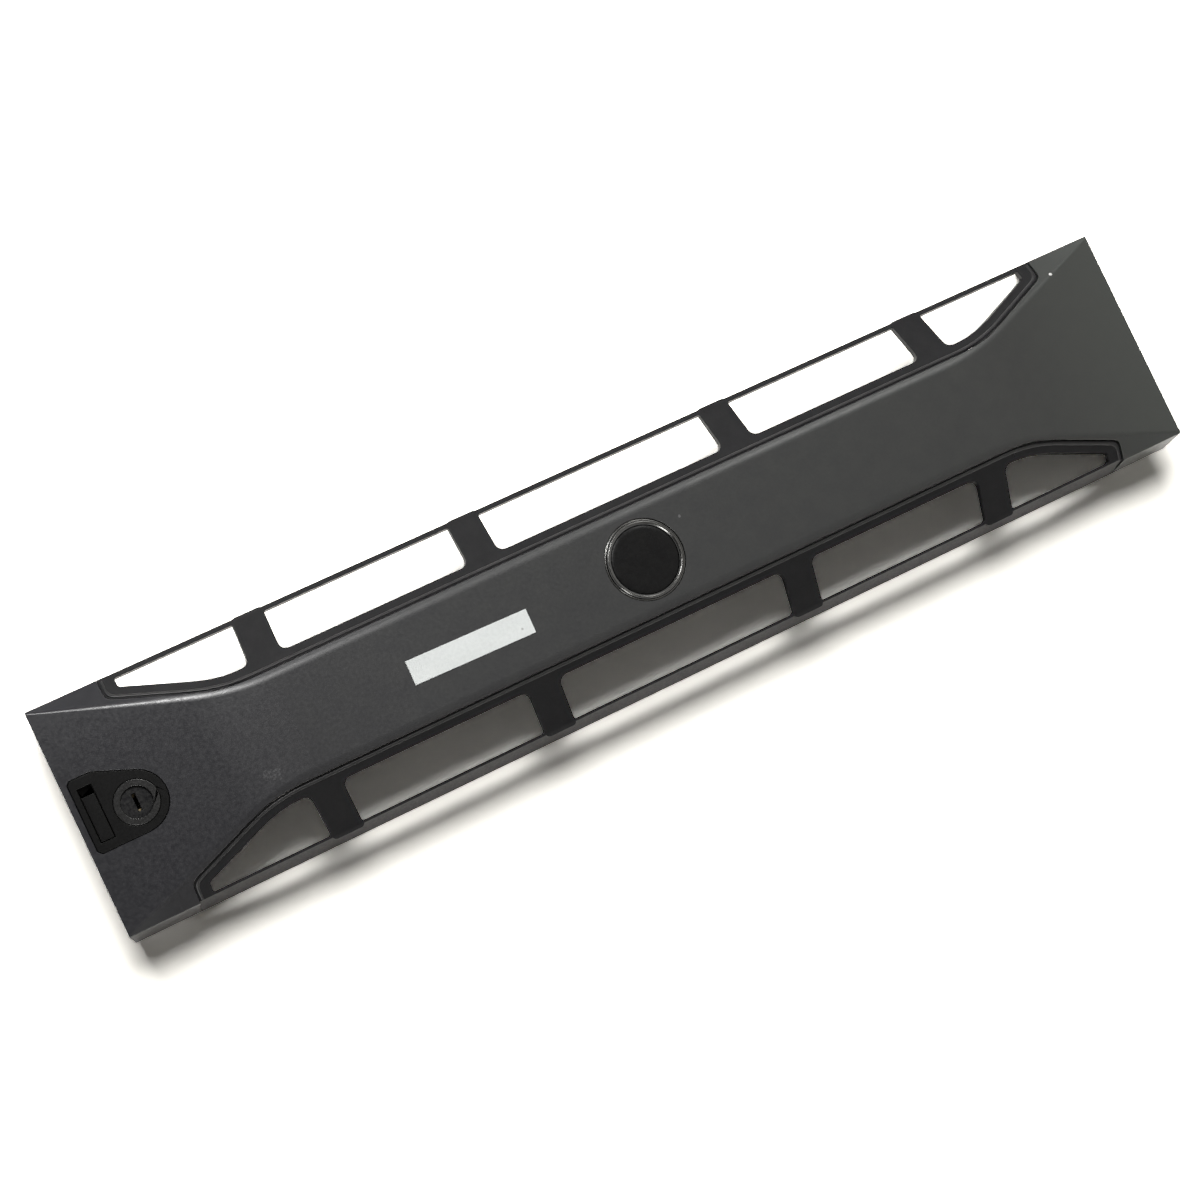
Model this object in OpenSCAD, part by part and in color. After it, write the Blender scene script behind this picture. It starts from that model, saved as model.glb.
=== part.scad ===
// Front bezel of a two-unit rack server, lying on its back with the front face up.
// X runs along the width, +Y is the edge that is uppermost in the rack, Z is the depth.
// The origin is the centre of the rear plane.

/* [Bezel] */
// Width across the two end wings
bezel_w = 444; // [440:0.5:448]
// Height of the front face
face_h = 85.6; // [85:0.1:86]
// Depth from the rear rim to the raised band
depth = 37; // [35:0.5:40]
// Height of the front face above the rear rim at the two ends
end_z = 26; // [25.8:0.1:27]
// Height of the rim where the sloped flanks meet the side walls
rim_z = 25.5; // [25.2:0.1:25.6]
// How far the lower wall flares outward on its way to the rear
skirt_flare = 2.8; // [1:0.2:3.2]
// How far the end walls lean inward on their way to the rear
end_draft = 3.5; // [2:0.5:4]
// Wall of the front cover
cover_wall = 2.2; // [1.8:0.1:2.4]

/* [Band] */
// Half the height of the raised band between its two ridges
band_half = 18.5; // [18:0.1:18.8]
// Distance from the centre to the bend between band and wing
knee_x = 155.5; // [154:0.5:157]
// Half the length over which that bend is blended
knee_soft = 16; // [10:1:18]
// Length of the rounding on each side of a ridge
ridge_round = 1.8; // [1.2:0.1:2]

/* [Grilles] */
// Width of a rib between two windows
rib_w = 12.3; // [10:0.1:13]
// Centre of the inner pair of ribs
rib_inner_x = 53.2; // [50:0.1:56]
// Centre of the outer pair of ribs
rib_outer_x = 139.6; // [138:0.1:140]
// Distance from the centre line to the near side of a window
window_near = 25.1; // [24.9:0.1:25.4]
// Distance from the centre line to the far side of a window
window_far = 41; // [40:0.1:41]
// Width of the black border between window and cover
border_w = 4.7; // [4.5:0.1:4.8]
// How deep the grilles sit below the surface of the cover
grille_drop = 1; // [0.6:0.1:1.4]
// Wall of a grille
grille_wall = 1.8; // [1.4:0.1:1.8]
// Depth of the collar around a window
collar_depth = 3.4; // [2.6:0.2:4]

/* [Badge and label] */
// Outer diameter of the badge ring
badge_d = 30.3; // [28:0.1:32]
// Diameter of the badge disc
disc_d = 25.3; // [23:0.1:26]
// Length and height of the asset label
label_size = [47.7, 9.2];
// Centre of the label
label_at = [-72.3, -2];
// Angle at which the label is stuck on
label_tilt = -1.2; // [-3:0.1:3]

/* [Lock and latch] */
// Axis of the key lock
lock_at = [-200.5, -1.6];
// Radius of the lock's front flange
lock_r = 8; // [7.5:0.1:8.2]
// Travel of the release slide
latch_travel = 3; // [1:0.5:3]

/* [Hidden] */
$fn = 64;

half_w = bezel_w / 2;
face_half = face_h / 2;
// Outward step of the rib caps over the outer walls
cap_proud = 0.3;
// Shift that centres the whole part on Y = 0
lift_y = (skirt_flare - cap_proud) / 2;
// Ridges end this far inside the corners of the face
corner_inset = 0.6;
end_fall = (depth - end_z) / (half_w - knee_x);
ridge_rise = (face_half - corner_inset - band_half) / (half_w - knee_x);
// Rear rim of the outer walls between the wings, and where it slopes down to the rear plane
upper_rim_z = 18;
lower_rim_z = 11;
flare_z = 11;
rim_slope_x = [195.4, 201];

// Colours of the materials
charcoal = [0.27, 0.27, 0.29];
black = [0.13, 0.13, 0.14];
gloss = [0.06, 0.06, 0.07];
steel = [0.62, 0.63, 0.65];
chrome = [0.8, 0.8, 0.82];
brass = [0.74, 0.6, 0.32];
paper = [0.93, 0.93, 0.92];

// ---- the curved front surface ----

// A ramp that starts softly: flat before -w, straight after +w
function soft_ramp(t, w) = t <= -w ? 0 : t >= w ? t : pow(t + w, 2) / (4 * w);
// Height of the face along the centre line
function crest_z(x) = depth - end_fall * soft_ramp(abs(x) - knee_x, knee_soft);
// Distance of the ridge from the centre line
function ridge_y(x) = band_half + ridge_rise * soft_ramp(abs(x) - knee_x, knee_soft);
function unit(v) = v / norm(v);
// Point at parameter k on the curve from s to e that is drawn towards b
function bezier(s, b, e, k) = pow(1 - k, 2) * s + 2 * k * (1 - k) * b + k * k * e;

// How much of a drop of the face the rim and the ridge of the moved skin follow
rim_follow = 0.6;
ridge_follow = 0.22;

// One half of the section at x, from the rear rim up to the face: [y, z] points.
// The skin is moved in by wall at the sides and down by drop at the front.
// The wall leans outward down to flare_z and stands upright below it. An inset narrows its top.
function half_section(x, wall, drop, flare, inset, low, steps) =
    let(
        foot = face_half - wall + flare,
        rim = [face_half - wall - inset, rim_z - rim_follow * drop],
        ridge = [min(ridge_y(x) - ridge_follow * drop, rim[0] - 0.4), crest_z(x) - drop],
        k = min(ridge_round, 0.45 * norm(rim - ridge)),
        s = ridge + k * unit(rim - ridge),
        e = ridge - [k, 0]
    )
    concat(
        [[foot, low], [foot, flare_z], rim],
        [for (i = [0:steps]) bezier(s, ridge, e, i / steps)]
    );

function mirrored(points) = [for (i = [len(points) - 1:-1:0]) [-points[i][0], points[i][1]]];

function full_section(x, wall, drop, inset, low, steps) =
    concat(
        half_section(x, wall, drop, 0, 0, low, steps),
        mirrored(half_section(x, wall, drop, skirt_flare, inset, low, steps))
    );

// Stations along X: the two ends and the blended bends
bend_steps = 8;
bend_x = [for (i = [0:bend_steps]) knee_x - knee_soft + 2 * knee_soft * i / bend_steps];
half_stations = concat(bend_x, [half_w]);
stations = concat([for (i = [len(half_stations) - 1:-1:0]) -half_stations[i]], half_stations);

// The solid under the front surface, moved in by wall and down by drop
module skin(wall, drop, low, steps, inset = 0) {
    count = 2 * (steps + 4);
    last = len(stations) - 1;
    points = [
        for (i = [0:last])
            let(
                at_end = i == 0 || i == last,
                x = stations[i] - sign(stations[i]) * (at_end ? wall : 0),
                section = full_section(stations[i], wall, drop, inset, low, steps)
            )
            for (j = [0:count - 1])
                let(
                    from_rim = min(j, count - 1 - j),
                    lean = from_rim == 0 ? 1 : from_rim == 1 ? 1 - flare_z / rim_z : 0,
                    draft = at_end ? lean * end_draft : 0
                )
                [x - sign(x) * draft, section[j][0], section[j][1]]
    ];
    sides = [
        for (i = [0:last - 1])
            for (j = [0:count - 1])
                let(a = i * count + j, b = i * count + (j + 1) % count)
                each [[a, b + count, b], [a, a + count, b + count]]
    ];
    near_caps = [
        [0, 1, count - 2, count - 1],
        [1, 2, count - 3, count - 2],
        [for (j = [2:count - 3]) j]
    ];
    far_caps = [for (face = near_caps) [for (j = [len(face) - 1:-1:0]) face[j] + last * count]];
    polyhedron(points, concat(sides, near_caps, far_caps));
}

// ---- outlines in the plane of the face ----

// Rounded corner b between its neighbours a and c
function bend(a, b, c, r) =
    let(u = unit(a - b), v = unit(c - b), t = r / tan(acos(u * v) / 2), n = r > 10 ? 10 : 6)
    [for (i = [0:n]) bezier(b + t * u, b, b + t * v, i / n)];
// A polygon whose corners each have their own radius
function rounded(points, radii) =
    let(n = len(points))
    [for (i = [0:n - 1]) each bend(points[(i + n - 1) % n], points[i], points[(i + 1) % n], radii[i])];

knee_angle = 21.4;
// Knee and tip of the window outline, and how they move when it grows by g
window_knee = [157.6, window_near];
window_tip_x = 189.4;
// The cut-out's tip lies this much further out than the grown tip of the window
tip_shift = [1.2, 0.6];
// The centre lines of the ribs would meet this far from the band
rib_fan = 1500;
function grown_knee(g) = window_knee + [g * tan(knee_angle / 2), -g];
function grown_tip(g) =
    let(x = window_tip_x + g, k = grown_knee(g))
    [x, k[1] + (x - k[0]) * tan(knee_angle)];

// The long cut-out in the cover on the +Y side, grown by g
function pocket_outline(g) =
    let(
        w = border_w + g,
        knee = grown_knee(w),
        tip = grown_tip(w) + tip_shift,
        far = face_half + skirt_flare + 5
    )
    rounded(
        [[-tip[0], far], [-tip[0], tip[1]], [-knee[0], knee[1]], knee, tip, [tip[0], far]],
        [1, 3.5, 60, 60, 3.5, 1]
    );

// Place along X of a rib's side at distance y from the centre line
function rib_side(x, y) = x * (1 - (y - window_near) / rib_fan);

// Window number 0 to 2 from the middle outward on the +X, +Y side, grown by g
function window_outline(n, g) =
    let(
        half_rib = rib_w / 2,
        left = [-rib_inner_x + half_rib, rib_inner_x + half_rib, rib_outer_x + half_rib][n] - g,
        right = [rib_inner_x - half_rib, rib_outer_x - half_rib][n],
        near = window_near - g,
        far = window_far + g,
        tip = grown_tip(g),
        near_left = [rib_side(left, near), near],
        far_left = [rib_side(left, far), far]
    )
    n < 2
        ? rounded(
            [far_left, near_left, [rib_side(right + g, near), near], [rib_side(right + g, far), far]],
            [0.8, 3.5, 3.5, 0.8]
        )
        : rounded([far_left, near_left, grown_knee(g), tip, [tip[0], far]], [0.8, 3.5, 45, 1.2, 0.8]);

// A straight block over an outline, on the +Y side or mirrored to the -Y side
module block(outline, side, low, high) {
    mirror([0, side < 0 ? 1 : 0, 0])
        translate([0, 0, low])
            linear_extrude(high - low) polygon(outline);
}

module windows(side, grow, low) {
    for (n = [0:2])
        for (flip = n == 0 ? [0] : [0, 1])
            mirror([flip, 0, 0]) block(window_outline(n, grow), side, low, depth + 5);
}

// Everything is drawn about the middle of the face and shifted once
module seated() {
    translate([0, lift_y, 0]) children();
}

// A slab parallel to the face of a wing, between two depths below it
module wing_slab(x0, x1, top_drop, low_drop) {
    rotate([90, 0, 0])
        linear_extrude(face_h, center = true)
            polygon([
                [x0, crest_z(x0) - low_drop], [x1, crest_z(x1) - low_drop],
                [x1, crest_z(x1) - top_drop], [x0, crest_z(x0) - top_drop]
            ]);
}

// A cut that lifts the rear rim between the wings off the table
module rear_relief(rim) {
    rotate([90, 0, 0])
        linear_extrude(face_h * 2, center = true)
            polygon([
                [-rim_slope_x[1] - 1, -2], [-rim_slope_x[1], 0], [-rim_slope_x[0], rim],
                [rim_slope_x[0], rim], [rim_slope_x[1], 0], [rim_slope_x[1] + 1, -2]
            ]);
}

// ---- fasteners and their bosses ----

// A self-tapping screw that points up: its head sits below z = 0
module screw(shank_r, head_r, length) {
    head_h = 1.7;
    slot = [head_r * 1.1, 0.7, 0.8];
    difference() {
        union() {
            translate([0, 0, -head_h]) cylinder(r = head_r, h = head_h);
            translate([0, 0, -0.01]) cylinder(r = shank_r, h = length);
        }
        for (turn = [0, 90])
            rotate([0, 0, turn])
                translate([0, 0, -head_h]) cube([slot[0], slot[1], slot[2] * 2], center = true);
    }
}

boss_bore_r = 1.05;
shank_r = 1.04;
ear_hole_r = 1.5;

// Grille ears: places along X, distance from the centre line and thickness range
ear_x = [-110, -30, 30, 110];
ear_y = 16.5;
ear_z = [21.6, 23.6];
ear_boss_r = 2.6;
// Bosses under the wings: [x, y, rear end]
housing_at = [[-212.8, -24], [-212.8, 32]];
housing_boss_z = 17;
hook_at = [[203, -18], [203, 18]];
hook_boss_z = 21.2;
wing_boss_r = 2.9;

// ---- front cover ----

// Outline of the lock's insert, grown by g: a nose around the lock and a square end
insert_left = -219.6;
function insert_outline(g) =
    let(
        left = insert_left - g,
        top = 14.9 + g,
        low = lock_at[1] - 11.3 - g,
        nose = [for (a = [-90:12:66]) lock_at + (11.3 + g) * [cos(a), sin(a)]]
    )
    concat(
        [[left, low + 1.5], [left + 1.5, low]], nose,
        [[-210.9, top], [left + 1.3, top], [left, top - 1.3]]
    );

insert_depth = 2.3;
insert_floor = 4;
pad_x = [-216.9, -212.1];
pad_y = [-9.05, 7.6];
slide_slot_x = [pad_x[0] - 0.2, pad_x[1] + 0.2];
slide_clear = 0.15;
slide_slot_y = [pad_y[0] - slide_clear, pad_y[1] + latch_travel + 2 * slide_clear];
barrel_r = 6;
nut_face_z = 23.8;
flange_w = 2;
flange_z = 24.2;

module band_bosses(bore) {
    for (x = ear_x, side = [-1, 1])
        translate([x, side * ear_y, ear_z[1]])
            if (bore)
                translate([0, 0, -1]) cylinder(r = boss_bore_r, h = 10);
            else
                cylinder(r = ear_boss_r, h = depth - ear_z[1] - 1);
}

wing_boss_at = concat(
    [for (p = housing_at) [p[0], p[1], housing_boss_z]],
    [for (p = hook_at) [p[0], p[1], hook_boss_z]]
);

module wing_bosses(bore) {
    for (at = wing_boss_at)
        translate(at)
            if (bore)
                translate([0, 0, -1]) cylinder(r = boss_bore_r, h = 7);
            else
                cylinder(r = wing_boss_r, h = crest_z(at[0]) - at[2] - 1.2);
}

module cover_hollow() {
    difference() {
        skin(cover_wall, cover_wall, -1, 1);
        for (side = [-1, 1])
            block(pocket_outline(flange_w), side, flange_z, depth + 5);
    }
}

// Thicker floor under the lock's insert, with a flat boss for the nut
module lock_pad() {
    intersection() {
        block(insert_outline(0.9), 1, 0, depth);
        wing_slab(insert_left - 0.05, -180, 1, insert_floor);
    }
    translate([lock_at[0], lock_at[1], nut_face_z]) cylinder(r = lock_r + 1, h = 3.6);
}

module front_cover() {
    color(charcoal) seated() difference() {
        union() {
            difference() {
                skin(0, 0, 0, 4);
                cover_hollow();
            }
            lock_pad();
            band_bosses(false);
            wing_bosses(false);
        }
        for (side = [-1, 1])
            block(pocket_outline(0), side, -1, depth + 5);
        rear_relief(lower_rim_z);
        band_bosses(true);
        wing_bosses(true);
        translate([0, 0, depth - badge_seat]) cylinder(d = badge_d + 0.2, h = 5);
        intersection() {
            block(insert_outline(0), 1, 0, depth);
            wing_slab(-half_w - 1, -180, -5, insert_depth);
        }
        translate([lock_at[0], lock_at[1], 0]) cylinder(r = barrel_r + 0.1, h = depth);
        translate([slide_slot_x[0], slide_slot_y[0], 0])
            cube([slide_slot_x[1] - slide_slot_x[0], slide_slot_y[1] - slide_slot_y[0], depth]);
    }
}

// ---- grilles ----

fit_gap = 0.15;
// How far the lower rail is set in from the rim of the wings
rail_inset = 0.8;
// Width of the collar around a window and of the skirt along the cover's edge
collar_w = 1.6;
// Rear end of the skirt, which carries the ears
skirt_z = 20;
// Length of a rib's cap, which starts just past the far edge of the windows
cap_length = 2;

module rib_caps(side) {
    outer = face_half + cap_proud;
    for (x = [-rib_outer_x, -rib_inner_x, rib_inner_x, rib_outer_x])
        translate([rib_side(x, outer), 0, 0])
            block(
                rounded(
                    [
                        [-rib_w / 2, outer - cap_length], [rib_w / 2, outer - cap_length],
                        [rib_w / 2, outer], [-rib_w / 2, outer]
                    ],
                    [0.2, 0.2, 1.8, 1.8]
                ),
                side, rim_z - 7, rim_z - 0.4 * grille_drop
            );
}

module grille_ears(side) {
    for (x = ear_x)
        translate([x, 0, 0])
            block(
                rounded([[-4.5, 24], [-4.5, 13], [4.5, 13], [4.5, 24]], [0.5, 3, 3, 0.5]),
                side, ear_z[0], ear_z[1]
            );
}

// Wall along the edge of the cover, from the ears up to the sheet
module skirt(side) {
    difference() {
        block(pocket_outline(0), side, skirt_z, depth + 5);
        block(pocket_outline(-fit_gap - collar_w), side, skirt_z - 1, depth + 6);
    }
}

// What is left out behind the sheet, the collars and the skirt
module grille_hollow(side) {
    difference() {
        skin(grille_wall, grille_drop + 2, -1, 1, rail_inset);
        skirt(side);
        difference() {
            windows(side, collar_w, skirt_z - 10);
            skin(grille_wall, grille_drop + collar_depth, -1, 1, rail_inset);
        }
    }
}

module grille(side) {
    difference() {
        union() {
            difference() {
                intersection() {
                    skin(0, grille_drop, 0, 1, rail_inset);
                    block(pocket_outline(-fit_gap), side, -1, depth + 5);
                }
                grille_hollow(side);
                rear_relief(side > 0 ? upper_rim_z : lower_rim_z);
            }
            rib_caps(side);
            grille_ears(side);
        }
        windows(side, 0, -1);
        for (x = ear_x)
            translate([x, side * ear_y, 0]) cylinder(r = ear_hole_r, h = depth - 10);
    }
}

module upper_grille() {
    color(black) seated() grille(1);
}

module lower_grille() {
    color(black) seated() grille(-1);
}

module grille_screws() {
    color(steel) seated()
        for (x = ear_x, side = [-1, 1])
            translate([x, side * ear_y, ear_z[0]]) screw(shank_r, 2.4, 9);
}

// ---- badge and label ----

badge_seat = 1.2;

module badge_ring() {
    low = depth - badge_seat;
    inner = disc_d / 2 + 0.05;
    outer = badge_d / 2;
    bead = outer - 0.6;
    color(chrome) seated()
        rotate_extrude()
            polygon([
                [inner, low], [outer, low], [outer, low + 0.7], [bead, low + 0.7], [bead, low + 1.5],
                [bead - 0.4, low + 1.9], [bead - 1, low + 1.9], [inner, low + 1.35]
            ]);
}

module badge_disc() {
    color(gloss) seated()
        translate([0, 0, depth - badge_seat]) cylinder(d = disc_d, h = 1.2);
}

module asset_label() {
    thick = 0.12;
    color(paper) seated()
        translate([label_at[0], label_at[1], depth + thick / 2])
            rotate([0, 0, label_tilt]) cube([label_size[0], label_size[1], thick], center = true);
}

// ---- key lock ----

plug_r = 4.6;
plug_head_r = 5.6;
head_depth = 2;
// Flat front face of the plug, just under the sloped surface around it
plug_face_z = crest_z(lock_at[0]) - 1.2;
barrel_end_z = 12.2;
plug_end_z = 12;
cam_t = 1.6;
running_gap = 0.05;

module at_lock(z) {
    translate([lock_at[0], lock_at[1], z]) children();
}

module lock_escutcheon() {
    color(gloss) seated() difference() {
        intersection() {
            block(insert_outline(-0.15), 1, 0, depth);
            wing_slab(-half_w, -180, 0.1, insert_depth);
        }
        at_lock(0) cylinder(r = lock_r + 0.1, h = depth);
        translate([slide_slot_x[0], slide_slot_y[0], 0])
            cube([slide_slot_x[1] - slide_slot_x[0], slide_slot_y[1] - slide_slot_y[0], depth]);
    }
}

module lock_barrel() {
    color(black) seated() difference() {
        union() {
            at_lock(barrel_end_z) cylinder(r = barrel_r, h = crest_z(lock_at[0]) - barrel_end_z - 1);
            intersection() {
                at_lock(0) cylinder(r = lock_r, h = depth);
                wing_slab(-half_w, -180, -0.3, insert_depth);
            }
        }
        at_lock(0) cylinder(r = plug_r + running_gap, h = depth);
        at_lock(plug_face_z - head_depth) cylinder(r = plug_head_r + running_gap, h = 8);
    }
}

module lock_nut() {
    height = 2;
    color(brass) seated() difference() {
        at_lock(nut_face_z - height) cylinder(r = 8.4, h = height, $fn = 6);
        at_lock(0) cylinder(r = barrel_r, h = depth);
    }
}

// Wafer slots across the plug
wafer_z = [15.5, 17.5, 19.5, 21.5];
wafer = [2, 8, 0.8];

module lock_plug() {
    color(steel) seated() difference() {
        union() {
            at_lock(plug_end_z) cylinder(r = plug_r, h = plug_face_z - plug_end_z);
            at_lock(plug_face_z - head_depth + running_gap)
                cylinder(r = plug_head_r, h = head_depth - running_gap);
        }
        at_lock(plug_face_z) cube([1.3, 6.4, 24], center = true);
        for (z = wafer_z)
            at_lock(z) cube([wafer[0] + 0.1, 10, wafer[2] + 0.1], center = true);
        at_lock(plug_end_z - 1) cylinder(r = 1.5, h = 3.2);
    }
}

module lock_wafers() {
    color(brass) seated()
        for (z = wafer_z)
            at_lock(z) difference() {
                cube(wafer, center = true);
                cube([1.3, 4.6, 2], center = true);
            }
}

module lock_cam() {
    width = 6;
    reach = 11;
    color(steel) seated()
        at_lock(plug_end_z - cam_t) difference() {
            union() {
                cylinder(r = 4, h = cam_t);
                translate([-width / 2, -reach, 0]) cube([width, reach, cam_t]);
            }
            translate([0, 0, -1]) cylinder(r = 1.55, h = cam_t + 2);
        }
}

module cam_screw() {
    color(steel) seated() at_lock(plug_end_z - cam_t) screw(1.48, 2.8, 3.6);
}

// ---- release slide and latch ----

slide_x = [-217.3, -208.3];
slide_y = [-16, 12];
slide_z = [17, 21.2];
bolt_x = [-216.2, -212.4];
bolt_t = 1.2;
bolt_flange_y = [-10.4, 2];
bolt_screw_at = [-214.3, -2.5];
spring_end_y = 24.5;
housing_x = [-218.1, -207.2];
housing_y = [-20, 28];
housing_z = [15, 21.3];
bolt_slot_y = [bolt_flange_y[0] - 0.8, bolt_flange_y[1] + latch_travel + 0.6];

// A box between two corners
module span(low, high) {
    translate(low) cube(high - low);
}

module release_slide() {
    color(black) seated() difference() {
        union() {
            span([slide_x[0], slide_y[0], slide_z[0]], [slide_x[1], slide_y[1], slide_z[1]]);
            intersection() {
                span([pad_x[0], pad_y[0], slide_z[0] + 1], [pad_x[1], pad_y[1], depth]);
                wing_slab(-half_w, -180, -0.5, insert_depth + 9);
            }
        }
        translate([bolt_screw_at[0], bolt_screw_at[1], slide_z[0] - 1]) cylinder(r = 1.05, h = 5);
    }
}

module latch_bolt() {
    foot_z = 2;
    foot_reach = 3;
    color(steel) seated() difference() {
        union() {
            span([bolt_x[0], bolt_flange_y[0], slide_z[0] - bolt_t], [bolt_x[1], bolt_flange_y[1], slide_z[0]]);
            span([bolt_x[0], bolt_flange_y[0], foot_z], [bolt_x[1], bolt_flange_y[0] + bolt_t, slide_z[0]]);
            span(
                [bolt_x[0], bolt_flange_y[0] - foot_reach, foot_z],
                [bolt_x[1], bolt_flange_y[0] + bolt_t, foot_z + bolt_t]
            );
        }
        translate([bolt_screw_at[0], bolt_screw_at[1], 0]) cylinder(r = 1.3, h = depth);
    }
}

module bolt_screw() {
    color(steel) seated()
        translate([bolt_screw_at[0], bolt_screw_at[1], slide_z[0] - bolt_t]) screw(1.04, 1.9, 4.4);
}

// Coil along Y between the slide and the end of its housing
spring_r = 1.6;
wire_r = 0.3;
spring_turns = 7;
spring_axis = [-212.8, 19.1];
ring_steps = 14;
wire_sides = 6;

module latch_spring() {
    rings = spring_turns * ring_steps;
    y0 = slide_y[1] + wire_r;
    run = spring_end_y - slide_y[1] - 2 * wire_r;
    points = [
        for (i = [0:rings])
            let(turn = 360 * i / ring_steps)
            for (j = [0:wire_sides - 1])
                let(
                    a = 360 * j / wire_sides,
                    r = spring_r + wire_r * cos(a),
                    y = y0 + run * i / rings + wire_r * sin(a)
                )
                [spring_axis[0] + r * cos(turn), y, spring_axis[1] + r * sin(turn)]
    ];
    sides = [
        for (i = [0:rings - 1])
            for (j = [0:wire_sides - 1])
                let(a = i * wire_sides + j, b = i * wire_sides + (j + 1) % wire_sides)
                each [[a, b + wire_sides, b], [a, a + wire_sides, b + wire_sides]]
    ];
    near_cap = [for (j = [0:wire_sides - 1]) j];
    far_cap = [for (j = [wire_sides - 1:-1:0]) rings * wire_sides + j];
    color(steel) seated() polyhedron(points, concat(sides, [near_cap, far_cap]));
}

module latch_housing() {
    wall = 0.75;
    ear = 8.5;
    color(black) seated() difference() {
        union() {
            span([housing_x[0], housing_y[0], housing_z[0]], [housing_x[1], housing_y[1], housing_z[1]]);
            for (at = housing_at)
                translate([at[0] - 4, at[1] - ear / 2, housing_z[0]])
                    cube([8, ear, housing_boss_z - housing_z[0]]);
        }
        span(
            [housing_x[0] + wall, slide_y[0] - 0.1, slide_z[0] - 0.05],
            [slide_x[1] + 0.1, spring_end_y, depth]
        );
        span(
            [bolt_x[0] - 0.2, bolt_slot_y[0], 0],
            [bolt_x[1] + 0.3, bolt_slot_y[1], depth]
        );
        for (at = housing_at)
            translate([at[0], at[1], 0]) cylinder(r = ear_hole_r, h = depth);
    }
}

module housing_screws() {
    color(steel) seated()
        for (at = housing_at)
            translate([at[0], at[1], housing_z[0]]) screw(shank_r, 2.4, 7);
}

// ---- fixed hooks at the other end ----

module hook_bracket() {
    t = 1.2;
    plate = [[197, -24], [209.2, 24]];
    hook_y = [-12, 12];
    hook_w = 8;
    hook_z = 3;
    hook_reach = 4.3;
    color(steel) seated() difference() {
        union() {
            span([plate[0][0], plate[0][1], hook_boss_z - t], [plate[1][0], plate[1][1], hook_boss_z]);
            for (y = hook_y) {
                span([plate[1][0] - t, y - hook_w / 2, hook_z], [plate[1][0], y + hook_w / 2, hook_boss_z]);
                span(
                    [plate[1][0] - t, y - hook_w / 2, hook_z],
                    [plate[1][0] + hook_reach, y + hook_w / 2, hook_z + t]
                );
            }
        }
        for (at = hook_at)
            translate([at[0], at[1], 0]) cylinder(r = ear_hole_r, h = depth);
    }
}

module hook_screws() {
    color(steel) seated()
        for (at = hook_at)
            translate([at[0], at[1], hook_boss_z - 1.2]) screw(shank_r, 2.4, 7);
}

front_cover();
upper_grille();
lower_grille();
badge_ring();
badge_disc();
asset_label();
lock_escutcheon();
lock_barrel();
lock_nut();
lock_plug();
lock_wafers();
lock_cam();
cam_screw();
release_slide();
latch_bolt();
bolt_screw();
latch_spring();
latch_housing();
housing_screws();
hook_bracket();
hook_screws();
grille_screws();
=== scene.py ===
"""Looks of a two-unit server front bezel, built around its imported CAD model. Lengths are in mm."""

import math

import bmesh
import bpy
from mathutils import Matrix, Vector
from mathutils.bvhtree import BVHTree

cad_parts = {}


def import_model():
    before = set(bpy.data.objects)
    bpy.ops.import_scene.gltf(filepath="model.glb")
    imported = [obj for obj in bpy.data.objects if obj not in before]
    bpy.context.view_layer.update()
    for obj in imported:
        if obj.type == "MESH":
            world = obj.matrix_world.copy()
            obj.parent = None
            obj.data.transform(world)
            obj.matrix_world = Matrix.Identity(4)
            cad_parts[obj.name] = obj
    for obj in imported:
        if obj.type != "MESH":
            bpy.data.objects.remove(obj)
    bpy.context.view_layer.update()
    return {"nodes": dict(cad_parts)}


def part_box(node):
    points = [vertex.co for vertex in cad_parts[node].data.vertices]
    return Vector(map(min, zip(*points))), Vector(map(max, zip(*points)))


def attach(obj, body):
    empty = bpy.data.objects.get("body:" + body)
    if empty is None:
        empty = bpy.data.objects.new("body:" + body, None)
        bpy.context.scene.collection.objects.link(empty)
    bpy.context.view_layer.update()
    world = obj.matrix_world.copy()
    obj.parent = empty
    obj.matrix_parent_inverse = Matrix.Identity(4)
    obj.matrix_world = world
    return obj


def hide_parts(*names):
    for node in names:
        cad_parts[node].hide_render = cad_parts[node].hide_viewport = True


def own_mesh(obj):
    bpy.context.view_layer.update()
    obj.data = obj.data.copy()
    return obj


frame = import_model()
SCENE = bpy.context.scene
MM = 0.001


def mm_box(node):
    low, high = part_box(node)
    return low / MM, high / MM


def middle(node):
    low, high = mm_box(node)
    return (low + high) / 2


# ---- sizes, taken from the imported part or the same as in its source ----
LIFT_Y = middle("badge_disc").y
DEPTH = mm_box("badge_disc")[1].z
HALF_W = mm_box("front_cover")[1].x
FACE_HALF = 42.8
RIM_Z = 25.5
END_Z = 26.0
BAND_HALF = 18.5
KNEE_X = 155.5
KNEE_SOFT = 16.0
RIDGE_ROUND = 1.8
CORNER_INSET = 0.6
RIM_FOLLOW = 0.6
RIDGE_FOLLOW = 0.22
END_FALL = (DEPTH - END_Z) / (HALF_W - KNEE_X)
RIDGE_RISE = (FACE_HALF - CORNER_INSET - BAND_HALF) / (HALF_W - KNEE_X)
BORDER_W = 4.7
GRILLE_DROP = 1.0
KNEE_ANGLE = math.radians(21.4)
KNEE_TAN = math.tan(KNEE_ANGLE)
HALF_KNEE_TAN = math.tan(KNEE_ANGLE / 2)
WINDOW_KNEE = (157.6, 25.1)
WINDOW_TIP_X = 189.4
TIP_SHIFT = (1.2, 0.6)
WINDOW_FAR = 41.0
RAIL_INSET = 0.8
RAIL_END_Y = 41.9
RING_GROOVE = 0.5
LABEL_SIZE = (47.7, 9.2)
LABEL_TILT = math.radians(-1.2)
WIRE_R = 0.3


# ---- the curved front surface, about the middle of the face ----
def soft_ramp(t, w):
    if t <= -w:
        return 0.0
    return t if t >= w else (t + w) ** 2 / (4 * w)


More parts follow.
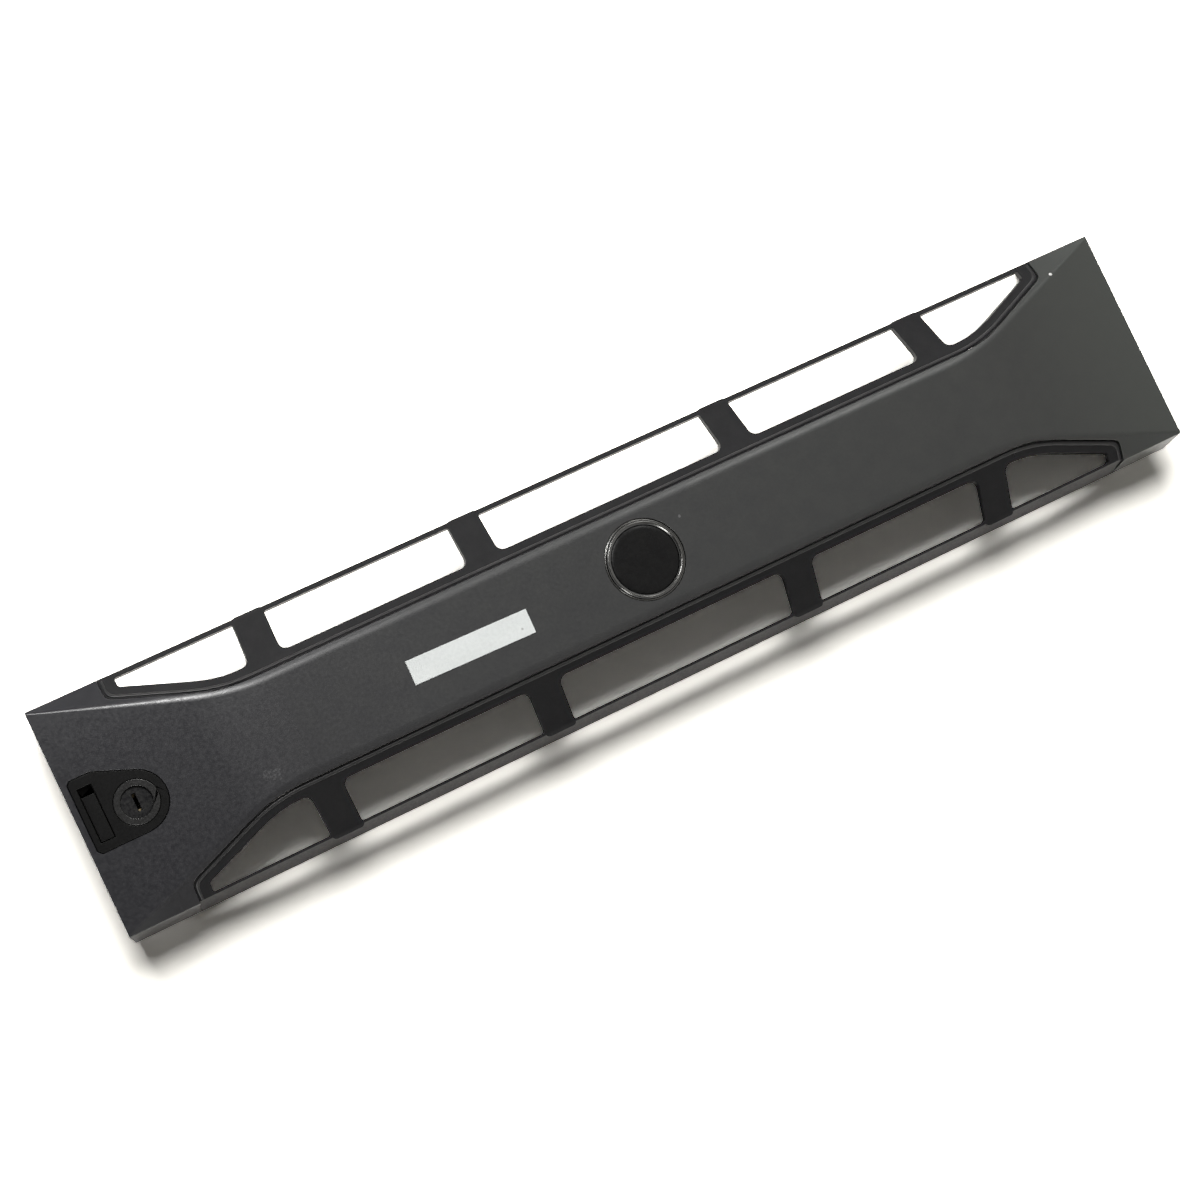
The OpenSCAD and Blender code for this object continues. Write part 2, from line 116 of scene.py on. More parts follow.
def crest_z(x):
    return DEPTH - END_FALL * soft_ramp(abs(x) - KNEE_X, KNEE_SOFT)


def ridge_y(x):
    return BAND_HALF + RIDGE_RISE * soft_ramp(abs(x) - KNEE_X, KNEE_SOFT)


def face_z(x, y, drop=0.0):
    """Height of the front surface, or of the one that lies drop below it."""
    inset = RAIL_INSET if drop and y < 0 else 0
    rim = Vector((FACE_HALF - inset, RIM_Z - RIM_FOLLOW * drop))
    ridge = Vector((min(ridge_y(x) - RIDGE_FOLLOW * drop, rim.x - 0.4), crest_z(x) - drop))
    along = rim - ridge
    k = min(RIDGE_ROUND, 0.45 * along.length)
    start = ridge + along.normalized() * k
    end = ridge - Vector((k, 0))
    y = abs(y)
    if y <= end.x:
        return ridge.y
    if y >= start.x:
        return start.y + (y - start.x) * along.y / along.x
    a = end.x - 2 * ridge.x + start.x
    b = 2 * (ridge.x - end.x)
    c = end.x - y
    t = -c / b if abs(a) < 1e-9 else (-b + math.sqrt(max(b * b - 4 * a * c, 0))) / (2 * a)
    return (1 - t) ** 2 * end.y + 2 * t * (1 - t) * ridge.y + t * t * start.y


def face_normal(x, y, drop=0.0):
    h = 0.05
    dx = (face_z(x + h, y, drop) - face_z(x - h, y, drop)) / (2 * h)
    dy = (face_z(x, y + h, drop) - face_z(x, y - h, drop)) / (2 * h)
    return Vector((-dx, -dy, 1)).normalized()


def seated(x, y, z):
    """A point about the middle of the face, in the frame's metres."""
    return Vector((x, y + LIFT_Y, z)) * MM


# ---- outlines of the cut-outs, as in the part's source ----
def bent(s, b, e, steps):
    """Points along the curve from s to e that leans towards b."""
    shares = [i / steps for i in range(steps + 1)]
    return [(1 - t) ** 2 * s + 2 * t * (1 - t) * b + t * t * e for t in shares]


def corner(a, b, c, radius, steps):
    u, v = (a - b).normalized(), (c - b).normalized()
    reach = radius / math.tan(u.angle(v) / 2)
    return bent(b + u * reach, b, b + v * reach, steps)


def pocket_line(grow):
    """The band side and both tips of the cut-out on the +Y side, from +X to -X, grown by grow."""
    g = BORDER_W + grow
    knee = Vector((WINDOW_KNEE[0] + g * HALF_KNEE_TAN, WINDOW_KNEE[1] - g))
    tip_x = WINDOW_TIP_X + g
    tip = Vector((tip_x + TIP_SHIFT[0], knee.y + (tip_x - knee.x) * KNEE_TAN + TIP_SHIFT[1]))
    far = Vector((tip.x, RAIL_END_Y))
    flip = Vector((-1, 1))
    half = [far]
    tip_turn = corner(far, tip, knee, 3.5, 8)
    knee_turn = corner(tip, knee, knee * flip, 60, 14)
    for turn, steps in ((tip_turn, 3), (knee_turn, 14)):
        start = half[-1]
        half += [start.lerp(turn[0], i / steps) for i in range(1, steps)] + turn
    across = [half[-1].lerp(half[-1] * flip, i / 90) for i in range(1, 90)]
    return half + across + [p * flip for p in half[::-1]]


# ---- building pieces ----
def piece(name, mesh, body, material):
    obj = bpy.data.objects.new(name, mesh)
    SCENE.collection.objects.link(obj)
    mesh.materials.clear()
    mesh.materials.append(material)
    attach(obj, body)
    return obj


def settled(obj):
    """Applies the piece's modifiers to its mesh."""
    graph = bpy.context.evaluated_depsgraph_get()
    mesh = bpy.data.meshes.new_from_object(obj.evaluated_get(graph))
    obj.modifiers.clear()
    obj.data = mesh


def welded(node):
    """The CAD node's mesh with its facets joined into faces."""
    bm = bmesh.new()
    bm.from_mesh(frame["nodes"][node].data)
    bmesh.ops.remove_doubles(bm, verts=bm.verts, dist=2e-6)
    bmesh.ops.dissolve_degenerate(bm, edges=bm.edges, dist=2e-6)
    bmesh.ops.dissolve_limit(
        bm, angle_limit=math.radians(0.4), use_dissolve_boundaries=False, verts=bm.verts, edges=bm.edges
    )
    mesh = bpy.data.meshes.new(node + "_shape")
    bm.to_mesh(mesh)
    bm.free()
    for name in ("custom_normal", "sharp_edge", "sharp_face"):
        if name in mesh.attributes:
            mesh.attributes.remove(mesh.attributes[name])
    mesh.shade_smooth()
    return mesh


def dressed(node, body, material, bevel, segments=2, chosen=None):
    """The CAD node with its sharp edges rounded, standing for the node."""
    mesh = welded(node)
    weigh_edges(mesh, bevel, chosen)
    obj = piece(node + "_finish", mesh, body, material)
    m = obj.modifiers.new("edges", "BEVEL")
    m.width = bevel * MM
    m.segments = segments
    m.limit_method = "WEIGHT"
    m.use_clamp_overlap = False
    settled(obj)
    hold_near(obj.data, welded(node), bevel * MM)
    keep_inside(obj.data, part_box(node))
    weigh_normals(obj.data)
    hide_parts(node)
    return obj


def hold_near(mesh, solid, reach):
    """Puts a corner that the rounding threw off the solid back on it."""
    points = [v.co for v in solid.vertices]
    surface = BVHTree.FromPolygons(points, [p.vertices for p in solid.polygons])
    for v in mesh.vertices:
        place, _, _, distance = surface.find_nearest(v.co)
        if distance > reach:
            v.co = place
    bpy.data.meshes.remove(solid)


def keep_inside(mesh, box):
    for v in mesh.vertices:
        v.co = [min(max(c, low), high) for c, low, high in zip(v.co, *box)]


def weigh_edges(mesh, bevel, chosen, sharp=28):
    """Marks sharp edges for rounding, short ones by less: all, or those between chosen points."""
    bm = bmesh.new()
    bm.from_mesh(mesh)
    weight = bm.edges.layers.float.new("bevel_weight_edge")
    for e in bm.edges:
        if e.is_manifold and e.calc_face_angle() > math.radians(sharp):
            if chosen is None or all(chosen(v.co / MM) for v in e.verts):
                e[weight] = min(1.0, max(0.2, e.calc_length() / (2.2 * bevel * MM)))
    bm.to_mesh(mesh)
    bm.free()


def weigh_normals(mesh, spread=38):
    """Shades each corner by its neighbouring faces, large ones most, so that flat faces stay flat."""
    limit = math.cos(math.radians(spread))
    around = [[] for _ in mesh.vertices]
    for p in mesh.polygons:
        for v in p.vertices:
            around[v].append(p)
    normals = []
    for p in mesh.polygons:
        for v in p.vertices:
            total = Vector()
            for q in around[v]:
                if q.normal.dot(p.normal) > limit:
                    total += q.normal * q.area
            normals.append(total.normalized() if total.length > 0 else p.normal)
    mesh.normals_split_custom_set([tuple(n) for n in normals])


def follow_face(obj, drops, tolerance=0.06):
    """Gives the front surface of a moulding the exact normals of its curves."""
    mesh = obj.data
    normals = [Vector(c.vector) for c in mesh.corner_normals]
    exact = {}
    for v in mesh.vertices:
        x, y, z = v.co.x / MM, v.co.y / MM - LIFT_Y, v.co.z / MM
        for drop in drops:
            if abs(y) < FACE_HALF and abs(face_z(x, y, drop) - z) < tolerance:
                exact[v.index] = face_normal(x, y, drop)
    for p in mesh.polygons:
        for i in p.loop_indices:
            n = exact.get(mesh.loops[i].vertex_index)
            if n is not None and n.dot(p.normal) > 0.93:
                normals[i] = n
    mesh.normals_split_custom_set([tuple(n) for n in normals])


def mesh_of(name, points, faces, smooth=True):
    mesh = bpy.data.meshes.new(name)
    mesh.from_pydata([tuple(p) for p in points], [], faces)
    bm = bmesh.new()
    bm.from_mesh(mesh)
    bmesh.ops.recalc_face_normals(bm, faces=bm.faces)
    bm.to_mesh(mesh)
    bm.free()
    if smooth:
        mesh.shade_smooth()
    return mesh


def grid_faces(rows, columns, close_columns=False):
    last = columns if close_columns else columns - 1
    return [
        [
            r * columns + c,
            r * columns + (c + 1) % columns,
            (r + 1) * columns + (c + 1) % columns,
            (r + 1) * columns + c,
        ]
        for r in range(rows - 1)
        for c in range(last)
    ]


def spun(name, profile, centre, steps=160):
    """A closed ring or a disc, turned about a line along Z: profile holds radius and height."""
    points = [
        seated(centre.x + r * math.cos(a), centre.y + r * math.sin(a), z)
        for r, z in profile
        for a in (2 * math.pi * i / steps for i in range(steps))
    ]
    return mesh_of(name, points, grid_faces(len(profile), steps, True))


def softened(profile, radius, steps=4):
    """The profile with its inner corners rounded."""
    pts = [Vector(p) for p in profile]
    out = [pts[0]]
    for a, b, c in zip(pts, pts[1:], pts[2:]):
        u, v = a - b, c - b
        k = min(radius, 0.45 * u.length, 0.45 * v.length)
        out += bent(b + u.normalized() * k, b, b + v.normalized() * k, steps)
    return out + [pts[-1]]


# ---- materials ----
class Tree:
    """A short way to write node materials."""

    def __init__(self, name):
        self.material = bpy.data.materials.new(name)
        self.material.use_nodes = True
        self.tree = self.material.node_tree
        self.shader = self.tree.nodes["Principled BSDF"]
        self.place = self.add("ShaderNodeTexCoord").outputs["Object"]

    def add(self, kind, inputs=None, **settings):
        node = self.tree.nodes.new(kind)
        for key, value in settings.items():
            setattr(node, key, value)
        for key, value in (inputs or {}).items():
            if isinstance(value, bpy.types.NodeSocket):
                self.tree.links.new(value, node.inputs[key])
            else:
                node.inputs[key].default_value = value
        return node

    def link(self, socket, name):
        self.tree.links.new(socket, self.shader.inputs[name])

    def noise(self, size, detail=3.0, roughness=0.55, place=None):
        """Noise with spots about size mm across."""
        inputs = {"Vector": place or self.place, "Scale": 1 / (size * MM)}
        inputs.update({"Detail": detail, "Roughness": roughness})
        return self.add("ShaderNodeTexNoise", inputs).outputs["Fac"]

    def spread(self, value, low, high, to_low=0.0, to_high=1.0):
        inputs = {"Value": value, "From Min": low, "From Max": high, "To Min": to_low, "To Max": to_high}
        return self.add("ShaderNodeMapRange", inputs, clamp=True).outputs["Result"]

    def math(self, operation, a, b=0.0):
        return self.add("ShaderNodeMath", {0: a, 1: b}, operation=operation).outputs[0]

    def mix(self, factor, a, b):
        node = self.add("ShaderNodeMix", data_type="RGBA")
        for key, value in ((0, factor), (6, a), (7, b)):
            if isinstance(value, bpy.types.NodeSocket):
                self.tree.links.new(value, node.inputs[key])
            else:
                node.inputs[key].default_value = value if key == 0 else (*value, 1.0)
        return node.outputs[2]

    def axis(self, name):
        return self.add("ShaderNodeSeparateXYZ", {0: self.place}).outputs[name]

    def spot(self, x, y, z, radius, ragged=0.5):
        """1 within a ragged patch about a point of the face, 0 outside it."""
        ends = {0: self.place, 1: seated(x, y, z)}
        away = self.add("ShaderNodeVectorMath", ends, operation="DISTANCE").outputs["Value"]
        rough = self.math("SUBTRACT", self.noise(radius * 0.8), 0.5)
        edge = self.math("MULTIPLY", rough, radius * ragged * MM * 2)
        return self.spread(self.math("ADD", away, edge), radius * MM * 0.75, radius * MM * 1.1, 1.0, 0.0)

    def bump(self, height, distance, strength=1.0, soft_edge=0.0):
        inputs = {"Strength": strength, "Distance": distance * MM, "Height": height}
        if soft_edge:
            soft = self.add("ShaderNodeBevel", {"Radius": soft_edge * MM}, samples=6)
            inputs["Normal"] = soft.outputs[0]
        node = self.add("ShaderNodeBump", inputs)
        self.link(node.outputs["Normal"], "Normal")


def grained_plastic(name, colour, tint, rough, specular, grain, relief, soft_edge=0.0):
    """Moulded plastic with fine grain: colour and tint are its darker and lighter mottling."""
    t = Tree(name)
    t.shader.inputs["Specular IOR Level"].default_value = specular
    cloud = t.spread(t.noise(7, 4), 0.35, 0.65)
    speck = t.spread(t.noise(grain, 2), 0.3, 0.7)
    mottle = t.math("ADD", t.math("MULTIPLY", cloud, 0.6), t.math("MULTIPLY", speck, 0.4))
    base = t.mix(mottle, colour, tint)
    t.link(base, "Base Color")
    t.link(t.spread(t.noise(grain * 1.7, 2), 0.3, 0.7, rough - 0.04, rough + 0.05), "Roughness")
    t.bump(t.noise(grain, 2), relief, soft_edge=soft_edge)
    return t, base


def charcoal_plastic():
    dark, light = (0.022, 0.0225, 0.026), (0.032, 0.0325, 0.034)
    t, base = grained_plastic("charcoal_plastic", dark, light, 0.32, 0.5, 0.75, 0.012)
    # Painted shade: the base colour darkens over the left wing, which faces away from the light.
    base = t.mix(t.spread(t.axis("X"), -0.10, -0.17, 0.0, 0.8), base, (0.008, 0.008, 0.012))
    # Painted light: the base colour turns lighter and greener towards +X, and lighter still over the
    # right end.
    base = t.mix(t.spread(t.axis("X"), -0.2, 0.2, 0.0, 0.45), base, (0.030, 0.033, 0.028))
    base = t.mix(t.spread(t.axis("X"), 0.17, 0.222, 0.0, 0.6), base, (0.058, 0.064, 0.058))
    patch = t.spot(-155, -13.3, crest_z(155), 3.2, 1.2)
    scuff = t.math("MULTIPLY", patch, t.spread(t.noise(0.9, 2), 0.45, 0.6))
    base = t.mix(t.math("MULTIPLY", scuff, 0.22), base, (0.16, 0.16, 0.165))
    base = t.mix(t.math("MULTIPLY", t.spot(18.8, 9.2, DEPTH, 0.55), 0.6), base, (0.16, 0.16, 0.165))
    base = t.mix(t.spot(199.6, 34.4, face_z(199.6, 34.4), 0.7), base, (0.75, 0.75, 0.74))
    t.link(base, "Base Color")
    return t.material


def black_plastic():
    dark, light = (0.005, 0.005, 0.006), (0.010, 0.010, 0.011)
    t, _ = grained_plastic("black_plastic", dark, light, 0.46, 0.2, 0.6, 0.008, 0.35)
    return t.material


def lip_black():
    """The smoother black of the bead beside the cover, a little lighter than the grille: the lighter
    colour is a painted highlight along the bead.
    """
    dark, light = (0.009, 0.009, 0.010), (0.014, 0.014, 0.015)
    t, _ = grained_plastic("lip_black", dark, light, 0.38, 0.4, 0.6, 0.006)
    return t.material


def insert_black():
    dark, light = (0.002, 0.002, 0.002), (0.004, 0.004, 0.004)
    t, _ = grained_plastic("insert_black", dark, light, 0.4, 0.12, 0.5, 0.004)
    return t.material


def lock_black():
    """The smoother black of the lock's barrel and plug, whose edges shine."""
    dark, light = (0.004, 0.004, 0.004), (0.008, 0.008, 0.008)
    t, _ = grained_plastic("lock_black", dark, light, 0.3, 0.5, 0.5, 0.004)
    return t.material


def gloss_black():
    t = Tree("gloss_black")
    t.shader.inputs["Specular IOR Level"].default_value = 0.14
    dark, light = (0.005, 0.005, 0.0055), (0.008, 0.008, 0.008)
    t.link(t.mix(t.spread(t.noise(4), 0.3, 0.7), dark, light), "Base Color")
    t.link(t.spread(t.noise(1.5, 4), 0.3, 0.8, 0.22, 0.36), "Roughness")
    t.bump(t.noise(0.8, 2), 0.002)
    return t.material


def bright_metal():
    t = Tree("bright_metal")
    t.shader.inputs["Metallic"].default_value = 1.0
    dark, light = (0.085, 0.085, 0.085), (0.13, 0.13, 0.125)
    t.link(t.mix(t.spread(t.noise(3), 0.3, 0.7), dark, light), "Base Color")
    t.link(t.spread(t.noise(1.2, 4), 0.3, 0.8, 0.20, 0.30), "Roughness")
    return t.material


def white_paper():
    t = Tree("white_paper")
    t.shader.inputs["Specular IOR Level"].default_value = 0.25
    base = t.mix(t.spread(t.noise(1.2, 5), 0.3, 0.7), (0.76, 0.79, 0.78), (0.83, 0.86, 0.85))
    _, high = mm_box("asset_label")
    speck = t.spot(high.x - 4.2, high.y - LIFT_Y - 7.1, DEPTH + 0.1, 0.45)
    base = t.mix(t.math("MULTIPLY", speck, 0.6), base, (0.35, 0.35, 0.34))
    t.link(base, "Base Color")
    t.link(t.spread(t.noise(0.8, 3), 0.3, 0.7, 0.55, 0.7), "Roughness")
    t.bump(t.noise(0.5, 3), 0.006)
    return t.material


def plated_metal(name, colour, tint, rough, grain=1.5):
    t = Tree(name)
    t.shader.inputs["Metallic"].default_value = 1.0
    t.link(t.mix(t.spread(t.noise(grain, 4), 0.35, 0.65), colour, tint), "Base Color")
    t.link(t.spread(t.noise(grain * 0.5, 3), 0.3, 0.7, rough - 0.06, rough + 0.1), "Roughness")
    t.bump(t.noise(grain * 0.3, 2), 0.004)
    return t.material


MATERIALS = {
    "charcoal_plastic": charcoal_plastic(),
    "black_plastic": black_plastic(),
    "lip_black": lip_black(),
    "insert_black": insert_black(),
    "lock_black": lock_black(),
    "gloss_black": gloss_black(),
    "bright_metal": bright_metal(),
    "white_paper": white_paper(),
    "plug_metal": plated_metal("plug_metal", (0.012, 0.012, 0.013), (0.022, 0.022, 0.022), 0.38),
    "brass": plated_metal("brass", (0.50, 0.33, 0.11), (0.60, 0.42, 0.16), 0.35),
    "worn_brass": plated_metal("worn_brass", (0.16, 0.13, 0.08), (0.24, 0.19, 0.11), 0.45),
    "zinc_steel": plated_metal("zinc_steel", (0.36, 0.37, 0.39), (0.50, 0.51, 0.52), 0.36),
    "spring_steel": plated_metal("spring_steel", (0.40, 0.40, 0.42), (0.52, 0.52, 0.53), 0.3),
}


# ---- the mouldings ----
def front_cover():
    slot = "charcoal_plastic"
    obj = dressed("front_cover", "bezel", MATERIALS[slot], 0.3, 3, outside_of_cover)
    follow_face(obj, [0.0])


def outside_of_cover(point):
    """True along the edges that show from the front: those of the face and of the outer walls."""
    x, y = abs(point.x), abs(point.y - LIFT_Y)
    shows = x > HALF_W - 4 or y > FACE_HALF - 0.2 or point.z > face_z(x, y) - 0.4
    return shows and point.z > 12.5


def band_side_of_window(point):
    """True along the edges of the windows on the front face, except near the caps of the ribs."""
    y = point.y - LIFT_Y
    return abs(y) < WINDOW_FAR - 5 and abs(face_z(point.x, y, GRILLE_DROP) - point.z) < 0.04


def grille(node, side):
    slot = "black_plastic"
    obj = dressed(node, "bezel", MATERIALS[slot], 0.25, 3, band_side_of_window)
    follow_face(obj, [GRILLE_DROP])
    lip(node + "_lip", side)


def lip(name, side):
    """The raised bead of a grille beside the edge of the cover."""
    shape = [(0.6, -0.4), (0.65, 0.12), (0.85, 0.36), (1.15, 0.45), (1.5, 0.38), (1.8, 0.14), (1.9, -0.4)]
    rows = []
    for inset, rise in shape:
        line = pocket_line(-inset)
        rows += [seated(p.x, p.y * side, face_z(p.x, p.y * side, GRILLE_DROP) + rise) for p in line]
    count = len(pocket_line(0))
    mesh = mesh_of(name, rows, grid_faces(len(shape), count))
    piece(name, mesh, "bezel", MATERIALS["lip_black"])


# ---- badge and label ----
def badge():
    centre = Vector((0, 0))
    top = mm_box("badge_ring")[1].z
    low = mm_box("badge_ring")[0].z
    inner = (mm_box("badge_disc")[1].x - mm_box("badge_disc")[0].x) / 2 + 0.05
    outer = (mm_box("badge_ring")[1].x - mm_box("badge_ring")[0].x) / 2
    step = DEPTH - RING_GROOVE
    bead = outer - 0.62
    profile = softened(
        [
            (inner, low), (outer, low), (outer, step), (bead, step), (bead - 0.05, DEPTH + 0.25),
            (bead - 0.5, top), (bead - 1.0, top), (inner + 0.1, DEPTH + 0.2), (inner, low),
        ],
        0.35,
    )
    mesh = spun("badge_ring", profile, centre)
    ring = piece("badge_ring_finish", mesh, "bezel", MATERIALS["bright_metal"])
    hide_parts("badge_ring")
    edge = inner - 0.06
    dome = [(edge, low), (edge, DEPTH - 0.12), (edge - 0.15, DEPTH - 0.04)]
    dome += [(edge * (1 - i / 8), DEPTH - 0.04 + 0.14 * (1 - (1 - i / 8) ** 2)) for i in range(1, 8)]
    dome += [(0.01, DEPTH + 0.1)]
    mesh = spun("badge_disc", dome, centre)
    disc = piece("badge_disc_finish", mesh, "bezel", MATERIALS["gloss_black"])
    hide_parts("badge_disc")


def label():
    """A paper label, slightly askew and not quite flat."""
    low, high = mm_box("asset_label")
    centre = (low + high) / 2
    size = Vector(LABEL_SIZE)
    across, up = 48, 12
    turn = Matrix.Rotation(LABEL_TILT, 2)
    points = []
    for level in (0, 1):
        for j in range(up + 1):
            for i in range(across + 1):
                u, v = i / across - 0.5, j / up - 0.5
                p = turn @ Vector((u * size.x, v * size.y)) + Vector((centre.x, centre.y))
                curl = 0.05 * (math.sin(9 * u + 2) * math.cos(5 * v) + 1) * level
                points.append(Vector((p.x, p.y, DEPTH + (0.02 + 0.1 * level) + curl)) * MM)
    faces = grid_faces(up + 1, across + 1)
    offset = (up + 1) * (across + 1)
    sheet = [[a + offset for a in f] for f in faces]
    rim = list(range(across + 1)) + [(j + 1) * (across + 1) - 1 for j in range(1, up + 1)]
    rim += [up * (across + 1) + i for i in range(across - 1, -1, -1)]
    rim += [j * (across + 1) for j in range(up - 1, 0, -1)]
    walls = [[a, b, b + offset, a + offset] for a, b in zip(rim, rim[1:] + rim[:1])]
    mesh = mesh_of("asset_label", points, faces + sheet + walls, smooth=False)
    obj = piece("asset_label_finish", mesh, "bezel", MATERIALS["white_paper"])
    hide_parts("asset_label")


# ---- lock, latch and fasteners ----
# Pieces whose finish differs a little from that of their slot
OWN_LOOK = {"lock_barrel": "lock_black", "lock_wafers": "worn_brass", "release_slide": "insert_black"}
SMALL_PARTS = [
    ("lock_escutcheon", "bezel", "insert_black", 0.3, 3),
    ("lock_barrel", "bezel", "insert_black", 0.25, 3),
    ("lock_nut", "bezel", "brass", 0.2, 2),
    ("lock_plug", "plug", "plug_metal", 0.15, 2),
    ("lock_wafers", "plug", "brass", 0.05, 1),
    ("lock_cam", "plug", "zinc_steel", 0.15, 2),
    ("cam_screw", "plug", "zinc_steel", 0.12, 2),
    ("release_slide", "release", "black_plastic", 0.3, 3),
    ("latch_bolt", "release", "zinc_steel", 0.2, 2),
    ("bolt_screw", "release", "zinc_steel", 0.12, 2),
    ("latch_housing", "bezel", "black_plastic", 0.2, 2),
    ("housing_screws", "bezel", "zinc_steel", 0.12, 2),
    ("hook_bracket", "bezel", "zinc_steel", 0.2, 2),
    ("hook_screws", "bezel", "zinc_steel", 0.12, 2),
    ("grille_screws", "bezel", "zinc_steel", 0.12, 2),
]


def small_parts():
    for node, body, slot, bevel, segments in SMALL_PARTS:
        dressed(node, body, MATERIALS[OWN_LOOK.get(node, slot)], bevel, segments)


def latch_spring():
    """The coil between the release slide and the end of its housing."""
    low, high = mm_box("latch_spring")
    wire, sides, turns, per_turn = WIRE_R, 10, 7, 36
    coil = (high.x - low.x) / 2 - wire
    axis = (low + high) / 2
    count = turns * per_turn
    run = high.y - low.y - 2 * wire
    points = []
    for i in range(count + 1):
        a = 2 * math.pi * i / per_turn
        out = Vector((math.cos(a), 0, math.sin(a)))
        centre = Vector((axis.x, low.y + wire + run * i / count, axis.z)) + out * coil
        for j in range(sides):
            b = 2 * math.pi * j / sides
            points.append((centre + out * wire * math.cos(b) + Vector((0, wire * math.sin(b), 0))) * MM)
    ends = [list(range(sides)), [count * sides + j for j in range(sides)]]
    faces = grid_faces(count + 1, sides, True) + ends
    mesh = mesh_of("latch_spring", points, faces)
    obj = piece("latch_spring_finish", mesh, "bezel", MATERIALS["spring_steel"])
    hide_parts("latch_spring")
    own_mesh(obj)


# ---- studio ----
# How light the floor is for the rays that light the object, and for the rays that show it
FLOOR_LIGHT = (0.85, 2.5)
# Green and blue of the floor as parts of its red
FLOOR_TINT = (0.98, 0.93)


def floor():
    mesh = bpy.data.meshes.new("floor")
    r = 6.0
    mesh.from_pydata([(-r, -r, 0), (r, -r, 0), (r, r, 0), (-r, r, 0)], [], [(0, 1, 2, 3)])
    obj = bpy.data.objects.new("floor", mesh)
    obj.location.z = -0.0003
    SCENE.collection.objects.link(obj)
    t = Tree("floor_white")
    tree = t.tree
    away = t.add("ShaderNodeVectorMath", {0: t.place}, operation="LENGTH").outputs["Value"]
    far = t.spread(away, 0.28, 0.6)
    seen = white_rays(t)
    paper = t.add("ShaderNodeBsdfDiffuse", {"Color": (0.9, 0.9, 0.9, 1)})
    shade = t.spread(seen, 0, 1, FLOOR_LIGHT[0], FLOOR_LIGHT[1])
    green, blue = (t.math("MULTIPLY", shade, part) for part in FLOOR_TINT)
    tone = t.add("ShaderNodeCombineXYZ", {0: shade, 1: green, 2: blue})
    tree.links.new(tone.outputs[0], paper.inputs["Color"])
    glow = t.add("ShaderNodeEmission", {"Color": (1, 1, 1, 1), "Strength": 1.0})
    share = t.math("MULTIPLY", far, seen)
    mix = t.add("ShaderNodeMixShader", {0: share, 1: paper.outputs[0], 2: glow.outputs[0]})
    tree.links.new(mix.outputs[0], tree.nodes["Material Output"].inputs["Surface"])
    mesh.materials.append(t.material)


def white_rays(t):
    """1 for rays that show the background: camera, glossy and transmission rays."""
    path = t.add("ShaderNodeLightPath").outputs
    both = t.math("MAXIMUM", path["Is Camera Ray"], path["Is Glossy Ray"])
    return t.math("MAXIMUM", both, path["Is Transmission Ray"])


def backdrop():
    """A white wall round the floor, above the horizon only as far as low views need."""
    radius, height, steps = 5.5, 2.2, 64
    points = [
        Vector((radius * math.cos(a), radius * math.sin(a), z))
        for z in (-0.4, height)
        for a in (2 * math.pi * i / steps for i in range(steps))
    ]
    mesh = mesh_of("backdrop", points, grid_faces(2, steps, True))
    obj = bpy.data.objects.new("backdrop", mesh)
    SCENE.collection.objects.link(obj)
    t = Tree("backdrop_white")
    glow = t.add("ShaderNodeEmission", {"Color": (1, 1, 1, 1), "Strength": 1.0})
    clear = t.add("ShaderNodeBsdfTransparent")
    mix = t.add("ShaderNodeMixShader", {0: white_rays(t), 1: clear.outputs[0], 2: glow.outputs[0]})
    t.tree.links.new(mix.outputs[0], t.tree.nodes["Material Output"].inputs["Surface"])
    mesh.materials.append(t.material)


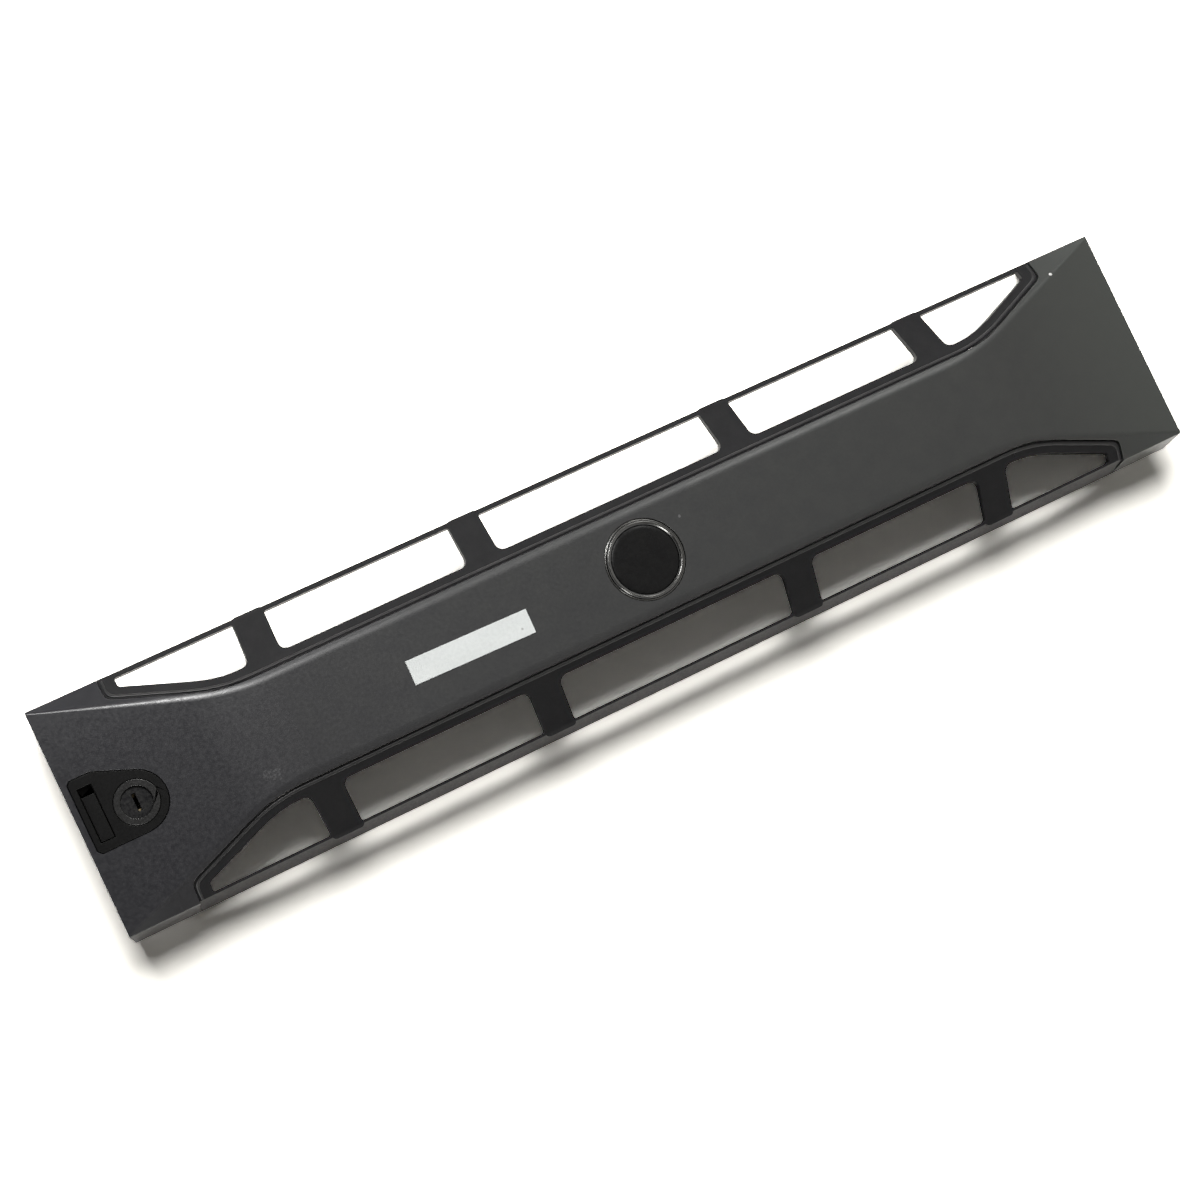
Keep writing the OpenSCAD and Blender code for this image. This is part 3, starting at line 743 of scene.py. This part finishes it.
def world():
    """A dim room, whose reflection is lighter towards +X."""
    w = bpy.data.worlds.new("studio")
    SCENE.world = w
    w.use_nodes = True
    tree = w.node_tree
    sky = tree.nodes["Background"]
    place = tree.nodes.new("ShaderNodeTexCoord").outputs["Generated"]
    split = tree.nodes.new("ShaderNodeSeparateXYZ")
    tree.links.new(place, split.inputs[0])
    ramp = tree.nodes.new("ShaderNodeMapRange")
    tree.links.new(split.outputs["X"], ramp.inputs["Value"])
    for key, value in (("From Min", -0.42), ("From Max", 0.42), ("To Min", 0.05), ("To Max", 0.8)):
        ramp.inputs[key].default_value = value
    path = tree.nodes.new("ShaderNodeLightPath").outputs
    seen = tree.nodes.new("ShaderNodeMath")
    seen.operation = "MAXIMUM"
    tree.links.new(path["Is Glossy Ray"], seen.inputs[0])
    tree.links.new(path["Is Transmission Ray"], seen.inputs[1])
    level = tree.nodes.new("ShaderNodeMix")
    level.inputs[2].default_value = 0.055
    tree.links.new(seen.outputs[0], level.inputs[0])
    tree.links.new(ramp.outputs["Result"], level.inputs[3])
    tree.links.new(level.outputs[0], sky.inputs["Strength"])
    sky.inputs["Color"].default_value = (1.0, 0.97, 0.92, 1)


def lamp(name, place, size, power, colour, shine=True, light=True):
    """A round soft light. With shine it is reflected, and with light it lights the surfaces."""
    data = bpy.data.lights.new(name, "AREA")
    data.shape = "DISK"
    data.size = size
    data.energy = power
    data.color = colour
    obj = bpy.data.objects.new(name, data)
    obj.location = place
    obj.rotation_mode = "QUATERNION"
    obj.rotation_quaternion = (-Vector(place)).to_track_quat("-Z", "Y")
    obj.visible_glossy = shine
    obj.visible_diffuse = light
    SCENE.collection.objects.link(obj)


def camera():
    data = bpy.data.cameras.new("camera")
    data.lens = 74.67
    data.sensor_width = 36.0
    data.clip_start, data.clip_end = 0.05, 30
    obj = bpy.data.objects.new("camera", data)
    right = Vector((0.87465, -0.43084, 0.22218))
    back = Vector((-0.26088, -0.03206, 0.96484)).normalized()
    up = back.cross(right).normalized()
    right = up.cross(back)
    turn = Matrix((right, up, back)).transposed().to_4x4()
    obj.matrix_world = Matrix.Translation((-0.2563, -0.0339, 0.9036)) @ turn
    SCENE.collection.objects.link(obj)
    SCENE.camera = obj


front_cover()
grille("upper_grille", 1)
grille("lower_grille", -1)
badge()
label()
small_parts()
latch_spring()
floor()
backdrop()
world()
lamp("key", (-0.04, 0.78, 1.02), 0.90, 19.5, (1.0, 0.995, 0.985), shine=False)
lamp("glint_left", (-0.26, 0.56, 1.10), 0.26, 11.0, (1.0, 0.995, 0.985), light=False)
lamp("glint_low", (-0.62, -0.55, 0.62), 0.30, 5.0, (1.0, 0.99, 0.97), light=False)
lamp("glint_right", (0.58, 0.66, 1.08), 0.40, 3.0, (1.0, 1.0, 0.98), light=False)
camera()
SCENE.view_settings.view_transform = "Standard"
